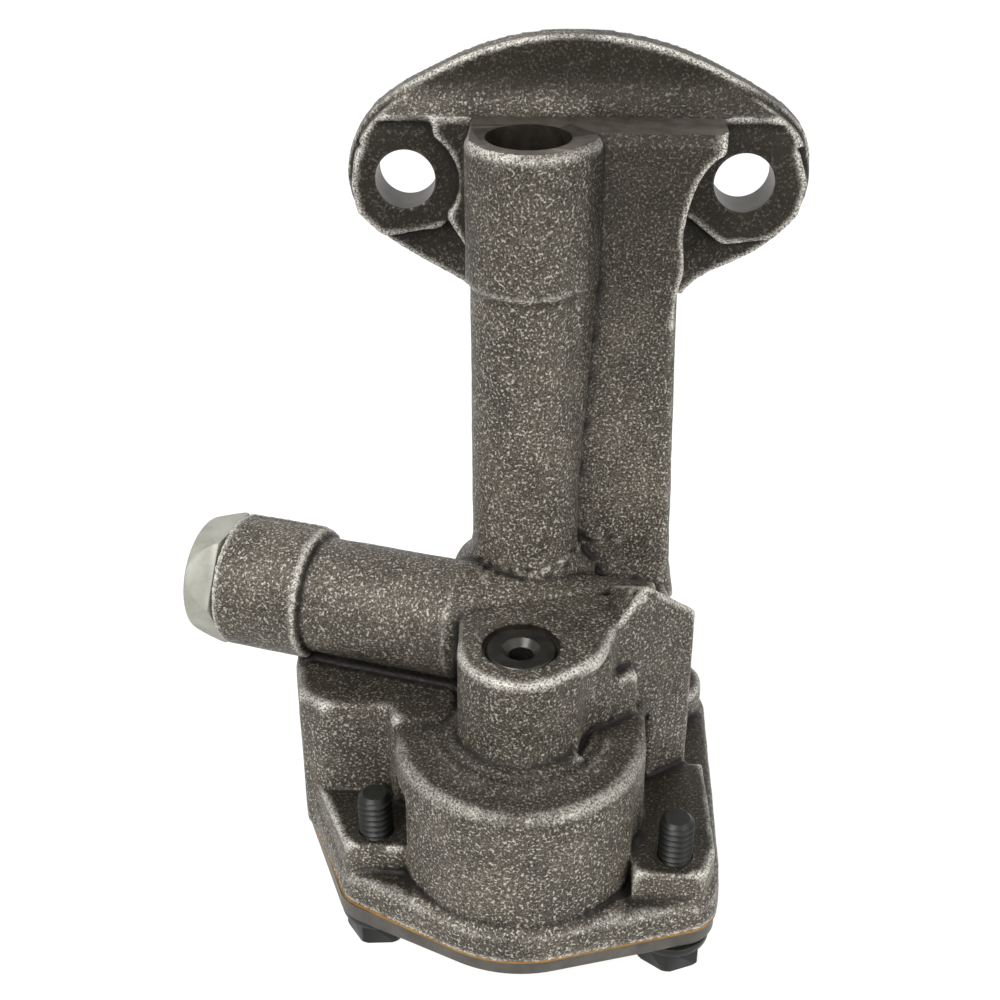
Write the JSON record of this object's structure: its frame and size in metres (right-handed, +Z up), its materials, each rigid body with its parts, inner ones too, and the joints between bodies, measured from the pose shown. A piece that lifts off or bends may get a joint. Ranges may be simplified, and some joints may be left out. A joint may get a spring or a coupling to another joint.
{
  "type": "engine oil pump",
  "caption": "Gear oil pump with a tall bored neck and bolt flange, side relief valve with hex plug, and a bolted bottom cover.",
  "frame": {"origin": "centre of the drive bore at the neck's machined top face", "axes": "+Z up along the drive bore out of the neck, +Y from the pump towards the engine block behind the flange, +X along the flange to the side away from the relief valve"},
  "size_m": [0.1134, 0.0823, 0.1558],
  "materials": {
    "cast_iron": "rough as-cast, grey-brown",
    "cover_iron": "ground flat, oiled",
    "gasket_paper": "matte oiled paper",
    "black_steel": "black oxide",
    "ground_steel": "ground",
    "hardened_steel": "hardened, dark",
    "gear_steel": "hobbed, satin",
    "bronze": "satin",
    "spring_steel": "drawn wire",
    "zinc_plated": "bright satin",
    "seal_washer": "matte fibre"
  },
  "bodies": {
    "housing": {"pump_body": "cast_iron", "cover_plate": "cover_iron", "cover_gasket": "gasket_paper", "cover_bolts": "black_steel", "cover_dowels": "ground_steel", "idler_shaft": "hardened_steel", "drive_bush_lower": "bronze", "drive_bush_upper": "bronze", "relief_plug": "zinc_plated", "relief_plug_washer": "seal_washer", "relief_spring_shim": "ground_steel", "relief_spring": "spring_steel"},
    "drive_rotor": {"drive_shaft": "ground_steel", "drive_gear": "gear_steel", "drive_gear_key": "ground_steel"},
    "idler_rotor": {"idler_gear": "gear_steel", "idler_bush": "bronze"},
    "relief_valve": {"relief_plunger": "ground_steel"}
  },
  "joints": [
    {"name": "drive_shaft_spin", "type": "hinge", "parent": "housing", "child": "drive_rotor", "pos_m": [0, 0, 0], "axis": [0, 0, 1], "continuous": true},
    {"name": "idler_gear_spin", "type": "hinge", "parent": "housing", "child": "idler_rotor", "pos_m": [0, -0.02857, 0], "axis": [0, 0, 1], "continuous": true},
    {"name": "relief_valve_slide", "type": "slide", "parent": "housing", "child": "relief_valve", "axis": [-0.9603, 0.279, 0], "range_m": [0, 0.009], "stiffness_N_per_m": 3500, "springref_m": -0.013, "deforming": ["relief_spring"]}
  ],
  "couplings": [
    {"joint": "idler_gear_spin", "follows": "drive_shaft_spin", "ratio": -1}
  ]
}
